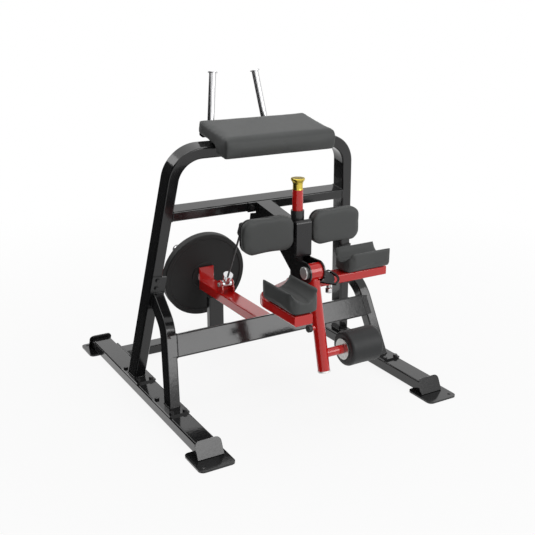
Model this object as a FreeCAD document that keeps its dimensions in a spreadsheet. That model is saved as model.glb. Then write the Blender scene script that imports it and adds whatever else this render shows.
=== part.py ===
import FreeCAD, Part
import math
import os
import re
from FreeCAD import Placement, Rotation, Vector

# Kneeling leg curl machine, loaded with weight plates.
# Millimetres. X to the user's right, Y away from the user, Z up. The origin is on the floor,
# midway between the two base rails. Every sub-part is drawn where it sits on the machine.

SIZES = {
    # base
    "rail_spread": 550, "rail_wide": 90, "rail_tall": 50, "rail_front": 530, "rail_rear": 730,
    "rail_end_lean": 25, "foot_side": 155, "foot_thick": 8, "foot_front": 533, "foot_rear": 700,
    "foot_out": 555, "end_plate_wide": 112, "end_plate_tall": 72, "plate_thick": 6,
    "cross_tube_y": 520, "cross_tube_wide": 80, "cross_tube_tall": 45, "flange_long": 165,
    "flange_thick": 8, "tube_wall": 3, "tube_corner": 7, "bolt_dia": 12, "bolt_head": 19,
    "bolt_head_tall": 8,
    # hoop
    "hoop_lean": 10.2, "hoop_y": 211, "hoop_foot_x": 568.5, "hoop_splay": 0.135,
    "hoop_wide": 50, "hoop_deep": 80, "hoop_top": 1134, "hoop_bend": 130,
    "hoop_foot_long": 190,
    # front legs and crossbeam
    "leg_wide": 50, "leg_deep": 60, "leg_foot_x": 552, "leg_bend": 150,
    "leg_knee_y": -47, "leg_knee_z": 367, "leg_lower_lean": 20.4, "leg_upper_slope": 32.9,
    "leg_plate_long": 150, "leg_plate_wide": 66, "leg_foot_long": 180,
    "beam_tall": 100, "beam_thick": 40,
    # upper crossbar, boom and hub
    "bar_w": 840, "bar_tall": 45, "boom_wide": 72, "hub_y": -386, "hub_z": 627,
    "hub_plate_radius": 44, "barrel_dia": 72, "axle_dia": 30, "axle_cap_dia": 52, "axle_cap_thick": 9,
    "cover_y": -320, "cover_thick": 19, "cover_low": 669, "cover_high": 826,
    "rocker_y": 60, "rocker_z": 690, "rocker_plate_radius": 28, "rocker_shaft_dia": 25,
    # knee pad frame
    "post_y": -266, "post_dia": 45, "post_top": 946, "knob_tall": 48, "knob_dia": 58,
    "sleeve_dia": 56, "sleeve_top": 848, "sleeve_low": 566, "knee_arm_wide": 80,
    "knee_arm_tall": 40, "knee_arm_low": 518, "knee_arm_reach": 440, "knee_side_x": -200,
    "knee_side_end": -630, "knee_side_slope": 24.9, "knee_bend": 70, "index_radius": 180,
    "lock_radius": 165, "lock_pin_dia": 10, "knee_pad_long": 225, "knee_pad_wide": 130, "knee_pad_corner": 42, "knee_pad_offset": 10,
    "knee_pad_high": 648, "knee_groove_depth": 44, "knee_swing": 50,
    # thigh pads
    "thigh_pad_wide": 243, "thigh_pad_tall": 152, "thigh_pad_thick": 45, "thigh_pad_x": 163,
    "thigh_pad_z": 784, "board_thick": 8,
    # arm pad and handles
    "arm_pad_half": 268, "arm_pad_rear": 112, "arm_pad_front": -164, "arm_pad_thick": 58,
    "handle_dia": 32, "handle_top_x": 106.6, "handle_top_y": 274.5, "handle_top_z": 1375,
    "handle_cap_dia": 44, "handle_foot_x": 139, "handle_foot_y": 239, "handle_foot_z": 1150,
    # roller lever
    "lever_lean": 13.6, "lever_dia": 50.8, "lever_top": 36.4, "lever_long": 413, "lever_lock_down": 228, "spigot_dia": 41, "roller_down": 344,
    "roller_axle_dia": 38, "roller_dia": 150, "roller_start": 106, "roller_long": 158,
    "washer_dia": 90, "washer_thick": 6,
    # drive links
    "crank_radius": 50, "crank_angle": -57.9, "rocker_in_radius": 100.6, "rocker_in_angle": 129.6,
    "rocker_out_radius": 147, "rocker_out_angle": -1.9,
    # weight arm
    "arm_pivot_y": -30, "arm_pivot_z": 280, "arm_shaft_dia": 25, "arm_bush_dia": 32, "arm_end_y": 600, "arm_wide": 80, "arm_tall": 50,
    "link_eye_y": 388, "link_eye_z": 345, "horn_tilt": 8, "horn_dia": 48, "horn_long": 340,
    "horn_z": 322, "plate_dia": 450, "weight_thick": 45, "bumper_thick": 14,
    "link_pin_dia": 12, "lever_pin_dia": 8, "groove_depth": 6, "running_gap": 0.3, "shaft_gap": 0.05,
}

doc = FreeCAD.newDocument("kneeling_leg_curl")
sheet = doc.addObject("Spreadsheet::Sheet", "Sizes")
for row, (alias, value) in enumerate(SIZES.items(), start=1):
    sheet.set(f"A{row}", alias)
    sheet.set(f"B{row}", str(value))
    sheet.setAlias(f"B{row}", alias)
doc.recompute()


class Sheet:
    """The driving sizes, read from the spreadsheet by name."""

    def __getattr__(self, alias):
        return float(sheet.get(alias))


s = Sheet()
nodes = {}
SIDES = (-1, 1)


# ---------------------------------------------------------------- helpers


def bind(item, **formulas):
    """Tie an object's sizes to the spreadsheet. Words in a formula are sheet names."""
    for size, formula in formulas.items():
        item.setExpression(size, re.sub(r"[a-z_]\w*", lambda word: "Sizes." + word.group(), formula))
    doc.recompute([item])
    return item


def node(label, item):
    """A finished sub-part: its label is the node's name."""
    item.Label = label
    nodes[label] = item
    return item


def block(name, length, width, height, centre, turn=Rotation()):
    """A box along X, Y and Z about its centre."""
    item = bind(doc.addObject("Part::Box", name), Length=length, Width=width, Height=height)
    half = Vector(item.Length.Value / 2, item.Width.Value / 2, item.Height.Value / 2)
    item.Placement = Placement(Vector(centre) - turn.multVec(half), turn)
    return item


def rod(name, radius, length, start, along):
    """A round bar from its start point in a direction."""
    item = bind(doc.addObject("Part::Cylinder", name), Radius=radius, Height=length)
    item.Placement = Placement(Vector(start), Rotation(Vector(0, 0, 1), Vector(along)))
    return item


def cut(name, base, *tools):
    """The base with every tool taken away."""
    tool = tools[0] if len(tools) == 1 else fuse(name + "_tools", *tools)
    item = doc.addObject("Part::Cut", name)
    item.Base = base
    item.Tool = tool
    doc.recompute([item])
    return item


def fuse(name, *pieces):
    """Several shapes welded into one."""
    item = doc.addObject("Part::MultiFuse", name)
    item.Shapes = list(pieces)
    doc.recompute([item])
    return item


def group(name, *pieces):
    """Several separate solids in one sub-part."""
    item = doc.addObject("Part::Compound", name)
    item.Links = list(pieces)
    doc.recompute([item])
    return item


def feature(name, shape):
    """A sub-part whose shape is worked out here."""
    item = doc.addObject("Part::Feature", name)
    item.Shape = shape
    return item


def rounded(name, base, radius, chosen):
    """The base with the chosen edges rounded."""
    item = doc.addObject("Part::Fillet", name)
    item.Base = base
    edges = enumerate(base.Shape.Edges, start=1)
    item.Edges = [(number, radius, radius) for number, edge in edges if chosen(edge)]
    doc.recompute([item])
    return item


def is_round(edge):
    """A test for circular edges."""
    return edge.Curve.TypeId == "Part::GeomCircle"


def runs_along(direction):
    """A test for straight edges in a direction."""
    axis = Vector(direction).normalize()

    def test(edge):
        straight = edge.Curve.TypeId == "Part::GeomLine"
        return straight and abs(edge.tangentAt(edge.FirstParameter).dot(axis)) > 0.999

    return test


def rounded_rectangle(width, depth, corner, middle, across, normal):
    """A closed outline about a middle point: width runs across, depth runs along the other axis."""
    across = Vector(across).normalize()
    other = Vector(normal).normalize().cross(across)
    a, b, r = width / 2, depth / 2, corner
    bow = r * (1 - math.sqrt(0.5))

    def at(x, y):
        return Vector(middle) + across * x + other * y

    edges = []
    for sx, sy in ((1, 1), (-1, 1), (-1, -1), (1, -1)):
        ends = [at(sx * a, sy * (b - r)), at(sx * (a - r), sy * b)]
        if sx * sy < 0:
            ends.reverse()
        edges.append(Part.Arc(ends[0], at(sx * (a - bow), sy * (b - bow)), ends[1]).toShape())
    corners = list(edges)
    for first, second in zip(corners, corners[1:] + corners[:1]):
        edges.append(Part.LineSegment(first.lastVertex().Point, second.firstVertex().Point).toShape())
    return Part.Wire(Part.__sortEdges__(edges))


def bent_path(points, bend):
    """Straight runs joined by tangent arcs of one radius."""
    points = [Vector(point) for point in points]
    edges = []
    start = points[0]
    for before, corner, after in zip(points, points[1:], points[2:]):
        arriving = (corner - before).normalize()
        leaving = (after - corner).normalize()
        turn = arriving.getAngle(leaving)
        reach = bend * math.tan(turn / 2)
        entry = corner - arriving * reach
        exit = corner + leaving * reach
        inward = (leaving - arriving).normalize()
        centre = corner + inward * (bend / math.cos(turn / 2))
        edges.append(Part.LineSegment(start, entry).toShape())
        edges.append(Part.Arc(entry, centre - inward * bend, exit).toShape())
        start = exit
    edges.append(Part.LineSegment(start, points[-1]).toShape())
    return Part.Wire(edges)


def bent_bar(points, bend, width, depth, corner, across):
    """A solid bar of rounded rectangular section along a bent path."""
    path = bent_path(points, bend)
    along = Vector(points[1]) - Vector(points[0])
    outline = rounded_rectangle(width, depth, corner, points[0], across, along)
    return path.makePipeShell([outline], True, False)


def bent_tube(points, bend, width, depth, across):
    """A rectangular tube along a bent path."""
    wall = s.tube_wall
    outer = bent_bar(points, bend, width, depth, s.tube_corner, across)
    inner = bent_bar(points, bend, width - 2 * wall, depth - 2 * wall, s.tube_corner - wall, across)
    return outer.cut(inner)


def straight_tube(name, length, width, height, centre, turn=Rotation()):
    """A rectangular tube along its own X, open at both ends."""
    outer = block(name + "_outer", length, width, height, centre, turn)
    soft = rounded(name + "_soft", outer, s.tube_corner, runs_along(turn.multVec(Vector(1, 0, 0))))
    inner = block(name + "_bore", length + " + 20", width + " - 2 * tube_wall",
                  height + " - 2 * tube_wall", centre, turn)
    return cut(name, soft, inner)


def prism(outline, direction):
    """A closed outline of points, drawn out in a direction."""
    points = [Vector(point) for point in outline]
    return Part.Face(Part.makePolygon(points + points[:1])).extrude(Vector(direction))


def bolt(name, centre, along, length="20"):
    """A hexagon-headed bolt: the head's underside is at the centre and the shank runs along."""
    along = Vector(along).normalize()
    turn = Rotation(Vector(0, 0, 1), along)
    head = bind(doc.addObject("Part::Prism", name + "_head"), Height="bolt_head_tall",
                Circumradius="bolt_head / 1.732")
    head.Polygon = 6
    head.Placement = Placement(Vector(centre) - along * s.bolt_head_tall, turn)
    shank = rod(name + "_shank", "bolt_dia / 2", length, Vector(centre), along)
    return fuse(name, head, shank)


def lean(u, d, w):
    """A point in the hoop's leaning frame: u across, d through the hoop to the rear, w up it."""
    tilt = math.radians(s.hoop_lean)
    return Vector(u, s.hoop_y + d * math.cos(tilt) - w * math.sin(tilt), d * math.sin(tilt) + w * math.cos(tilt))


def lean_turn():
    """The turn that takes X, Y and Z to the hoop's u, d and w."""
    return Rotation(Vector(1, 0, 0), s.hoop_lean)


def polar(y, z, radius, angle):
    """A point in the middle plane, at an angle up from the rearward horizontal."""
    turn = math.radians(angle)
    return Vector(0, y + radius * math.cos(turn), z + radius * math.sin(turn))


# ---------------------------------------------------------------- base


def side_name(side):
    return "left" if side < 0 else "right"


def base_rail(side):
    """A floor rail: rectangular tube whose ends slope back under the end plates."""
    slope = s.rail_tall * math.tan(math.radians(s.rail_end_lean))
    low, high = s.foot_thick, s.foot_thick + s.rail_tall
    x = side * s.rail_spread - s.rail_wide / 2
    outline = [(x, -s.rail_front, low), (x, s.rail_rear, low), (x, s.rail_rear - slope, high),
               (x, slope - s.rail_front, high)]
    outer = feature(f"rail_{side_name(side)}_outer", prism(outline, (s.rail_wide, 0, 0)))
    soft = rounded(f"rail_{side_name(side)}_soft", outer, s.tube_corner, runs_along((0, 1, 0)))
    middle = (side * s.rail_spread, (s.rail_rear - s.rail_front) / 2, (low + high) / 2)
    bore = block(f"rail_{side_name(side)}_bore", "rail_wide - 2 * tube_wall", "rail_front + rail_rear + 50",
                 "rail_tall - 2 * tube_wall", middle)
    return cut(f"rail_{side_name(side)}", soft, bore)


def foot_plate(side, end):
    """A floor plate under a rail end, with one hole for a floor anchor."""
    place = f"{'rear' if end > 0 else 'front'}_{side_name(side)}"
    y = s.foot_rear if end > 0 else -s.foot_front
    plate = block(f"foot_{place}_blank", "foot_side", "foot_side", "foot_thick",
                  (side * s.foot_out, y, s.foot_thick / 2))
    soft = rounded(f"foot_{place}_soft", plate, 22, runs_along((0, 0, 1)))
    hole = rod(f"foot_{place}_hole", "7", "foot_thick + 2",
               (side * (s.foot_out + 52), y + end * 52, -1), (0, 0, 1))
    return cut(f"foot_{place}", soft, hole)


def rail_end_plate(side, end):
    """The sloping plate that closes a rail end."""
    place = f"{'rear' if end > 0 else 'front'}_{side_name(side)}"
    lean_back = s.rail_end_lean
    turn = Rotation(Vector(1, 0, 0), end * lean_back)
    slope = Vector(0, -end * math.sin(math.radians(lean_back)), math.cos(math.radians(lean_back)))
    out = Vector(0, end * math.cos(math.radians(lean_back)), math.sin(math.radians(lean_back)))
    foot = Vector(side * s.rail_spread, end * (s.rail_rear if end > 0 else s.rail_front), s.foot_thick)
    middle = foot + slope * (s.end_plate_tall / 2) + out * (s.plate_thick / 2)
    plate = block(f"end_{place}_blank", "end_plate_wide", "plate_thick", "end_plate_tall", middle, turn)
    top = middle + slope * (s.end_plate_tall / 2)

    def top_corner(edge):
        across = runs_along(out)(edge)
        return across and (edge.CenterOfMass - top).dot(slope) > -1

    soft = rounded(f"end_{place}_soft", plate, 22, top_corner)
    floor = block(f"end_{place}_floor", "200", "200", "40", foot - Vector(0, 0, 20))
    return cut(f"end_{place}", soft, floor)


def rear_cross_tube():
    """The tube that ties the rails together at the rear, bolted through a flange at each end."""
    inner = s.rail_spread - s.rail_wide / 2
    z = s.foot_thick + s.cross_tube_tall / 2 + 3
    tube = straight_tube("cross_tube", "2 * (rail_spread - rail_wide / 2 - flange_thick)", "cross_tube_wide",
                         "cross_tube_tall", (0, s.cross_tube_y, z))
    flanges = []
    bolts = []
    for side in SIDES:
        name = side_name(side)
        flange = block(f"flange_{name}_blank", "flange_thick", "flange_long", "rail_tall - 6",
                       (side * (inner - s.flange_thick / 2), s.cross_tube_y, z))
        holes = []
        for end in (-1, 1):
            spot = Vector(side * (inner - s.flange_thick), s.cross_tube_y + end * 60, z)
            holes.append(rod(f"flange_{name}_hole_{end + 1}", "bolt_dia / 2", "flange_thick", spot, (side, 0, 0)))
            bolts.append(bolt(f"cross_bolt_{name}_{end + 1}", spot, (side, 0, 0), "flange_thick"))
        flanges.append(cut(f"flange_{name}", flange, *holes))
    node("rear_cross_tube", fuse("cross_tube_weld", tube, *flanges))
    return bolts


node("base_rails", group("rail_pair", *[base_rail(side) for side in SIDES]))
node("foot_plates", group("foot_set", *[foot_plate(side, end) for side in SIDES for end in SIDES]))
node("rail_end_plates", group("end_set", *[rail_end_plate(side, end) for side in SIDES for end in SIDES]))
frame_bolts = rear_cross_tube()


# ---------------------------------------------------------------- hoop

RAIL_TOP = s.foot_thick + s.rail_tall
PLATE_TOP = RAIL_TOP + s.plate_thick + 2


def hoop_x(w):
    """How far the middle of a hoop leg stands from the machine's middle, up the hoop."""
    return s.hoop_foot_x - s.hoop_splay * w


def hoop_points():
    """The middle line of the hoop: two splayed legs and the top."""
    top = s.hoop_top - s.hoop_wide / 2
    foot = 20
    return [lean(-hoop_x(foot), 0, foot), lean(-hoop_x(top), 0, top), lean(hoop_x(top), 0, top),
            lean(hoop_x(foot), 0, foot)]


def below(level):
    """Everything under a level, to trim feet flat."""
    return Part.makeBox(2400, 2400, 400, Vector(-1200, -1200, level - 400))


depth_axis = lean(0, 1, 0) - lean(0, 0, 0)
hoop_solid = bent_bar(hoop_points(), s.hoop_bend, s.hoop_deep, s.hoop_wide, s.tube_corner, depth_axis)
hoop_tube = bent_tube(hoop_points(), s.hoop_bend, s.hoop_deep, s.hoop_wide, depth_axis)
node("hoop", feature("hoop_tube", hoop_tube.cut(below(PLATE_TOP))))


def hoop_foot_plate(side):
    """The plate that bolts a hoop leg to the top of its rail, with four bolts."""
    name = side_name(side)
    y = (lean(0, 0, RAIL_TOP)).y
    middle = Vector(side * s.rail_spread, y, (RAIL_TOP + PLATE_TOP) / 2)
    plate = block(f"hoop_foot_{name}_blank", "rail_wide", "hoop_foot_long", "plate_thick + 2", middle)
    bolts = []
    holes = []
    for end in (-1, 1):
        for across in (-1, 1):
            spot = middle + Vector(across * 30, end * (s.hoop_foot_long / 2 - 18), s.plate_thick / 2 + 1)
            key = f"{name}_{end + 1}_{across + 1}"
            bolts.append(bolt(f"hoop_bolt_{key}", spot, (0, 0, -1), "plate_thick + 2"))
            holes.append(rod(f"hoop_hole_{key}", "bolt_dia / 2", "plate_thick + 2", spot, (0, 0, -1)))
    frame_bolts.extend(bolts)
    return cut(f"hoop_foot_{name}", plate, *holes)


node("hoop_foot_plates", group("hoop_foot_pair", *[hoop_foot_plate(side) for side in SIDES]))


# ---------------------------------------------------------------- front legs and crossbeam


def leg_x(z):
    """How far the middle of a front leg stands from the machine's middle at a height."""
    return s.leg_foot_x - s.hoop_splay * z


def leg_points(side):
    """The middle line of a front leg: down from the hoop, then steeper to the rail."""
    lower = math.radians(s.leg_lower_lean)
    upper = math.radians(s.leg_upper_slope)
    knee_y, knee_z = s.leg_knee_y, s.leg_knee_z
    top_y, top_z = knee_y + 190 * math.cos(upper), knee_z + 190 * math.sin(upper)
    foot_z = 20
    foot_y = knee_y - (knee_z - foot_z) * math.tan(lower)
    places = ((top_y, top_z), (knee_y, knee_z), (foot_y, foot_z))
    return [Vector(side * leg_x(z), y, z) for y, z in places]


def leg_normal(side):
    """The direction square to the plane that a front leg bends in."""
    top, knee, foot = leg_points(side)
    return (knee - top).cross(foot - knee)


def in_front_of_hoop(gap):
    """A slab that fills the hoop's thickness, to trim what butts against its front."""
    deep = s.hoop_deep + gap
    corner = lean(-900, -s.hoop_deep / 2 - gap, 0)
    slab = Part.makeBox(1800, deep + 200, 1400)
    slab.Placement = Placement(corner, lean_turn())
    return slab


LEG_PLATE = s.plate_thick + 2


def front_leg(side):
    """A bent tube from a plate on the hoop leg down to a plate on the rail."""
    name = side_name(side)
    points = leg_points(side)
    tube = bent_tube(points, s.leg_bend, s.leg_wide, s.leg_deep, leg_normal(side))
    tube = tube.cut(in_front_of_hoop(LEG_PLATE)).cut(below(PLATE_TOP))
    solid = bent_bar(points, s.leg_bend, s.leg_wide, s.leg_deep, s.tube_corner, leg_normal(side))
    return feature(f"leg_{name}", tube), solid


def leg_plates(side):
    """The plates at a front leg's two ends, with their bolts."""
    name = side_name(side)
    w = 497
    splay = Rotation(Vector(0, 1, 0), -side * math.degrees(math.atan(s.hoop_splay)))
    middle = lean(side * (hoop_x(w) - 9), -s.hoop_deep / 2 - LEG_PLATE / 2, w)
    turn = lean_turn() * splay
    plate = block(f"leg_plate_{name}_blank", "leg_plate_wide", "plate_thick + 2", "leg_plate_long", middle, turn)
    bolts = []
    holes = []
    front = turn.multVec(Vector(0, -LEG_PLATE / 2, 0))
    for up in (s.leg_plate_long / 2 - 54, s.leg_plate_long / 2 - 18):
        spot = middle + front + turn.multVec(Vector(side * 6, 0, up))
        inward = turn.multVec(Vector(0, 1, 0))
        bolts.append(bolt(f"leg_bolt_{name}_{up:.0f}", spot, inward, "plate_thick + 2"))
        holes.append(rod(f"leg_hole_{name}_{up:.0f}", "bolt_dia / 2", "plate_thick + 2", spot, inward))
    upper = cut(f"leg_plate_{name}", plate, *holes)
    foot = leg_points(side)[2]
    y = foot.y - (PLATE_TOP - foot.z) * -math.tan(math.radians(s.leg_lower_lean))
    base_middle = Vector(side * s.rail_spread, y, (RAIL_TOP + PLATE_TOP) / 2)
    blank = block(f"leg_foot_{name}_blank", "rail_wide", "leg_foot_long", "plate_thick + 2", base_middle)
    foot_holes = []
    for end in (-1, 1):
        for across in (-1, 1):
            spot = base_middle + Vector(across * 30, end * (s.leg_foot_long / 2 - 14), s.plate_thick / 2 + 1)
            key = f"{name}_{end + 1}_{across + 1}"
            bolts.append(bolt(f"leg_foot_bolt_{key}", spot, (0, 0, -1), "plate_thick + 2"))
            foot_holes.append(rod(f"leg_foot_hole_{key}", "bolt_dia / 2", "plate_thick + 2", spot, (0, 0, -1)))
    frame_bolts.extend(bolts)
    return [upper, cut(f"leg_foot_{name}", blank, *foot_holes)]


legs = [front_leg(side) for side in SIDES]
leg_solids = [solid for tube, solid in legs]
node("front_legs", group("leg_pair", *[tube for tube, solid in legs]))
node("front_leg_plates", group("leg_plate_set", *leg_plates(-1), *leg_plates(1)))


def middle_solid(shape):
    """The solid nearest the machine's middle plane, of several left by a cut."""
    return min(shape.Solids, key=lambda solid: abs(solid.CenterOfMass.x))


def crossbeam():
    """The beam between the front legs, leaning with them, flush with their fronts."""
    tilt = math.radians(s.leg_lower_lean)
    z = 289
    y = s.leg_knee_y - (s.leg_knee_z - z) * math.tan(tilt)
    forward = Vector(0, -math.cos(tilt), math.sin(tilt))
    middle = Vector(0, y, z) + forward * ((s.leg_deep - s.beam_thick) / 2)
    turn = Rotation(Vector(1, 0, 0), -s.leg_lower_lean)
    tube = straight_tube("beam_tube", "1040", "beam_thick", "beam_tall", middle, turn)
    shape = tube.Shape
    for leg in leg_solids:
        shape = shape.cut(leg)
    node("crossbeam", feature("beam", middle_solid(shape)))
    return middle, forward, turn


beam_middle, beam_forward, beam_turn = crossbeam()


def upper_crossbar():
    """The tube between the hoop legs that carries the boom."""
    tube = straight_tube("bar_tube", "980", "hoop_deep", "bar_tall", lean(0, 0, s.bar_w), lean_turn())
    node("upper_crossbar", feature("bar", middle_solid(tube.Shape.cut(hoop_solid))))


upper_crossbar()


# ---------------------------------------------------------------- boom, side plates and hub

BOOM_HALF = s.boom_wide / 2
COVER_BACK = s.cover_y + s.cover_thick


def side_plate(side):
    """A long plate from the crossbar to the lever's hub, which also holds the rocker's shaft."""
    name = side_name(side)
    x = side * BOOM_HALF if side < 0 else BOOM_HALF - s.plate_thick
    top = s.bar_w + s.bar_tall / 2
    root = lean(0, -s.hoop_deep / 2 - s.flange_thick, top)
    r, q = s.hub_plate_radius, s.rocker_plate_radius
    hub, rocker = (s.hub_y, s.hub_z), (s.rocker_y, s.rocker_z)

    def at(y, z):
        return Vector(x, y, z)

    line = Part.LineSegment
    corners = [at(hub[0], hub[1] + r), at(s.cover_y, s.cover_low), at(COVER_BACK, s.cover_low),
               at(COVER_BACK, s.cover_high - 12),
               at(COVER_BACK + 66, root.z - (root.y - COVER_BACK - 66) * 0.18), at(root.y, root.z),
               at(root.y + 9, root.z - 50), at(rocker[0] + 8, rocker[1] + 88), at(rocker[0] + q, rocker[1])]
    edges = [line(a, b).toShape() for a, b in zip(corners, corners[1:])]
    low = at(rocker[0] - q * 0.6, rocker[1] - q * 0.8)
    edges.append(Part.Arc(corners[-1], at(rocker[0] + q * 0.6, rocker[1] - q * 0.8), low).toShape())
    under = [low, at(-126, 716), at(-296, 590), at(hub[0], hub[1] - r)]
    edges += [line(a, b).toShape() for a, b in zip(under, under[1:])]
    edges.append(Part.Arc(under[-1], at(hub[0] - r, hub[1]), corners[0]).toShape())
    blank = Part.Face(Part.Wire(Part.__sortEdges__(edges))).extrude(Vector(s.plate_thick, 0, 0))
    for (y, z), dia in ((hub, s.axle_dia + 8), (rocker, s.rocker_shaft_dia + 2 * s.shaft_gap)):
        blank = blank.cut(Part.makeCylinder(dia / 2, 100, Vector(x - 40, y, z), Vector(1, 0, 0)))
    return feature(f"side_plate_{name}", blank)


node("hub_side_plates", group("side_plate_pair", *[side_plate(side) for side in SIDES]))


def boom_top():
    """The plate that closes the boom's top between the side plates, with the post's hole."""
    rear, front = -s.hoop_deep / 2 - s.flange_thick, -s.hoop_deep / 2 - 320
    top = s.bar_w + s.bar_tall / 2
    middle = lean(0, (rear + front) / 2, top - s.plate_thick / 2)
    blank = block("boom_top_blank", "boom_wide - 2 * plate_thick", "312", "plate_thick", middle, lean_turn())
    hole = rod("boom_top_hole", "sleeve_dia / 2", "400", (0, s.post_y, 600), (0, 0, 1))
    return cut("boom_top", blank, hole)


def boom_flange():
    """The plate that bolts the boom to the crossbar's front face."""
    d = -s.hoop_deep / 2
    middle = lean(0, d - s.flange_thick / 2, s.bar_w)
    blank = block("boom_flange_blank", "150", "flange_thick", "bar_tall - 2", middle, lean_turn())
    bolts, holes = [], []
    inward = lean(0, 1, 0) - lean(0, 0, 0)
    for side in SIDES:
        spot = lean(side * 57, d - s.flange_thick, s.bar_w)
        bolts.append(bolt(f"boom_bolt_{side_name(side)}", spot, inward, "flange_thick"))
        holes.append(rod(f"boom_hole_{side_name(side)}", "bolt_dia / 2", "flange_thick", spot, inward))
    frame_bolts.extend(bolts)
    return cut("boom_flange", blank, *holes)


node("boom_top_plate", fuse("boom_weld", boom_top(), boom_flange()))
node("frame_bolts", group("frame_bolt_set", *frame_bolts))


def front_cover():
    """The cover over the front ends of the side plates, rounded at its top and bottom."""
    tall = s.cover_high - s.cover_low
    blank = block("cover_blank", "boom_wide", "cover_thick", "cover_high - cover_low",
                  (0, s.cover_y + s.cover_thick / 2, s.cover_low + tall / 2))

    def front_edge(edge):
        return runs_along((1, 0, 0))(edge) and edge.CenterOfMass.y < s.cover_y + 1

    node("front_cover", rounded("cover", blank, 14, front_edge))


front_cover()


# ---------------------------------------------------------------- hub axle and roller lever

HUB = Vector(0, s.hub_y, s.hub_z)
RIGHT = Vector(1, 0, 0)


def at_x(point, x):
    return Vector(x, point.y, point.z)


def lever_point(distance):
    """A point on the lever's middle line, so far below the hub."""
    return polar(s.hub_y, s.hub_z, distance, 270 - s.lever_lean)


LEVER_DOWN = (lever_point(1) - lever_point(0)).normalize()


def hub_bearings():
    """Bronze bushes in the side plates, which the hub axle turns in."""
    bushes = []
    for side in SIDES:
        start = at_x(HUB, side * (BOOM_HALF - s.plate_thick))
        name = side_name(side)
        outer = rod(f"hub_bush_{name}_outer", "axle_dia / 2 + 4", "plate_thick", start, (side, 0, 0))
        bore = rod(f"hub_bush_{name}_bore", "axle_dia / 2 + shaft_gap", "plate_thick", start, (side, 0, 0))
        bushes.append(cut(f"hub_bush_{name}", outer, bore))
    node("hub_bushes", group("hub_bush_pair", *bushes))


hub_bearings()


def crank_plate(name, centre, end, x, thick, hub_radius, eye_radius):
    """A flat crank: a hub disc and an eye disc joined by tangent sides."""
    along = (end - centre)
    length = along.Length
    along.normalize()
    across = Vector(0, -along.z, along.y)
    hub_disc = Part.makeCylinder(hub_radius, thick, at_x(centre, x), RIGHT)
    eye_disc = Part.makeCylinder(eye_radius, thick, at_x(end, x), RIGHT)
    web = prism([at_x(centre + across * hub_radius * 0.96, x), at_x(end + across * eye_radius * 0.98, x),
                 at_x(end - across * eye_radius * 0.98, x), at_x(centre - across * hub_radius * 0.96, x)],
                (thick, 0, 0))
    return feature(name, hub_disc.fuse([eye_disc, web]).removeSplitter())


CRANK_PIN = polar(s.hub_y, s.hub_z, s.crank_radius, s.crank_angle)
ROCKER = Vector(0, s.rocker_y, s.rocker_z)
ROCKER_IN = polar(s.rocker_y, s.rocker_z, s.rocker_in_radius, s.rocker_in_angle)
ROCKER_OUT = polar(s.rocker_y, s.rocker_z, s.rocker_out_radius, s.rocker_out_angle)
LINK_EYE = Vector(0, s.link_eye_y, s.link_eye_z)
CRANK_X = BOOM_HALF + 2
CRANK_THICK = 8
LINK_X = CRANK_X + CRANK_THICK + 1
LINK_THICK = 6


def lever_hub():
    """The lever's barrel, with the spigot that the lever tube turns on."""
    gap = s.running_gap
    half = BOOM_HALF - s.plate_thick - gap
    barrel = rod("barrel", "barrel_dia / 2", "boom_wide - 2 * plate_thick - 2 * running_gap",
                 at_x(HUB, -half), RIGHT)
    spigot = rod("spigot", "spigot_dia / 2 - shaft_gap", "lever_lock_down + 30", HUB, LEVER_DOWN)
    bore = rod("barrel_bore", "axle_dia / 2", "200", at_x(HUB, -100), RIGHT)
    groove_start = lever_point(s.lever_lock_down - s.lever_pin_dia / 2 - 1)
    groove = rod("groove_outer", "spigot_dia / 2 + 5", "lever_pin_dia + 2", groove_start, LEVER_DOWN)
    core = rod("groove_core", "spigot_dia / 2 - groove_depth", "lever_pin_dia + 2", groove_start, LEVER_DOWN)
    ring = cut("groove_ring", groove, core)
    node("lever_hub", cut("hub_weld", fuse("hub_blank", barrel, spigot), bore, ring))


def hub_axle():
    """The axle, keyed in the barrel, with the drive crank on its right end."""
    shaft = rod("axle_shaft", "axle_dia / 2", str(s.boom_wide + 5 + CRANK_THICK + 2),
                at_x(HUB, -BOOM_HALF - 5), RIGHT)
    node("hub_axle", shaft)
    crank = crank_plate("crank_blank", HUB, CRANK_PIN, CRANK_X, CRANK_THICK, 24, 12)
    pin = rod("crank_pin", "link_pin_dia / 2", str(CRANK_THICK + LINK_THICK + 2), at_x(CRANK_PIN, CRANK_X), RIGHT)
    bore = rod("crank_bore", "axle_dia / 2", "60", at_x(HUB, 0), RIGHT)
    node("drive_crank", cut("crank", fuse("crank_weld", crank, pin), bore))
    cap = rod("axle_cap_left", "axle_cap_dia / 2", "axle_cap_thick",
              at_x(HUB, -BOOM_HALF - s.axle_cap_thick - s.running_gap), RIGHT)
    soft = rounded("axle_cap_soft", cap, 3, lambda edge: edge.CenterOfMass.x < -BOOM_HALF - 5)
    socket = rod("axle_cap_socket", "axle_dia / 2", "100", at_x(HUB, -BOOM_HALF - 5), RIGHT)
    node("axle_cap", cut("axle_cap_disc", soft, socket))


lever_hub()
hub_axle()


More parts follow.
